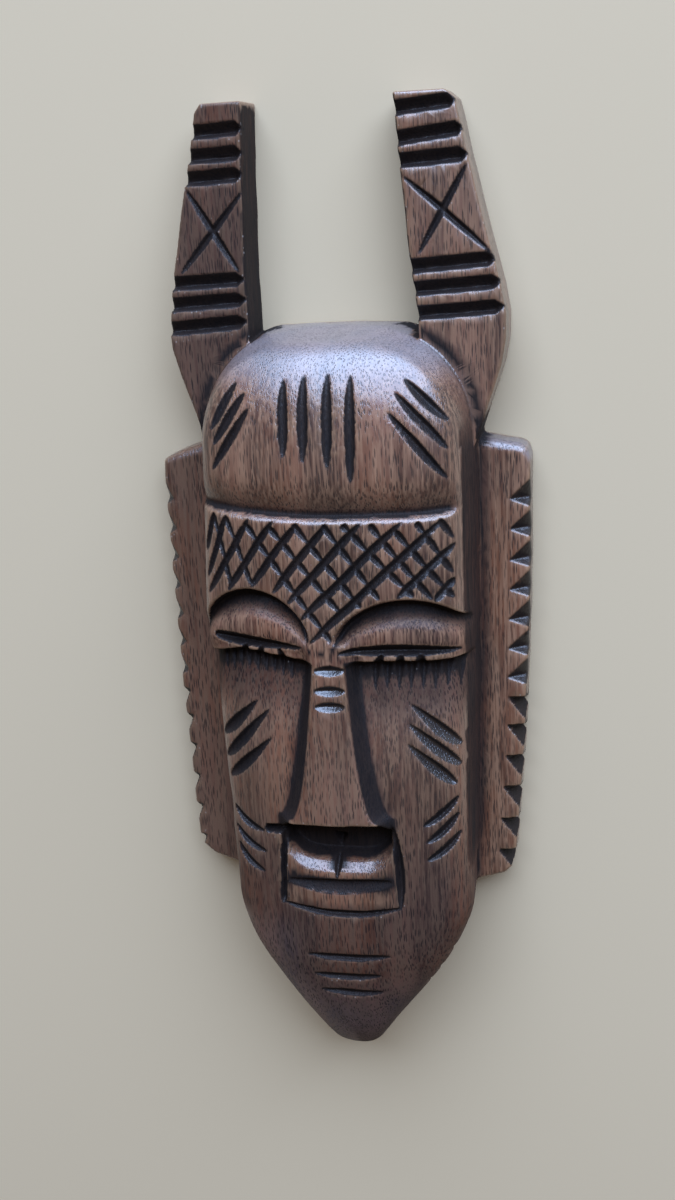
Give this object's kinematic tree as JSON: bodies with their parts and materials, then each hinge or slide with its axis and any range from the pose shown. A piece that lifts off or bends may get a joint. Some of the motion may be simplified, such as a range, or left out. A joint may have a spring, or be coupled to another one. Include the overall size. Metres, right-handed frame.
{
  "type": "carved horned mask",
  "caption": "Long carved wooden mask with two upright horns, notched side flanges, a latticed brow and a hollow back.",
  "frame": {"origin": "bottom centre of the bounding box: in the plane of the flat back, halfway along the mask", "axes": "+Z out of the face, +Y towards the horn tips, +X to the right of a viewer who faces the mask"},
  "size_m": [0.1206, 0.32, 0.0495],
  "materials": {
    "carved_wood": "oiled and waxed dark hardwood, satin, blackened in the cuts"
  },
  "bodies": {
    "root": {"mask": "carved_wood"}
  },
  "joints": []
}
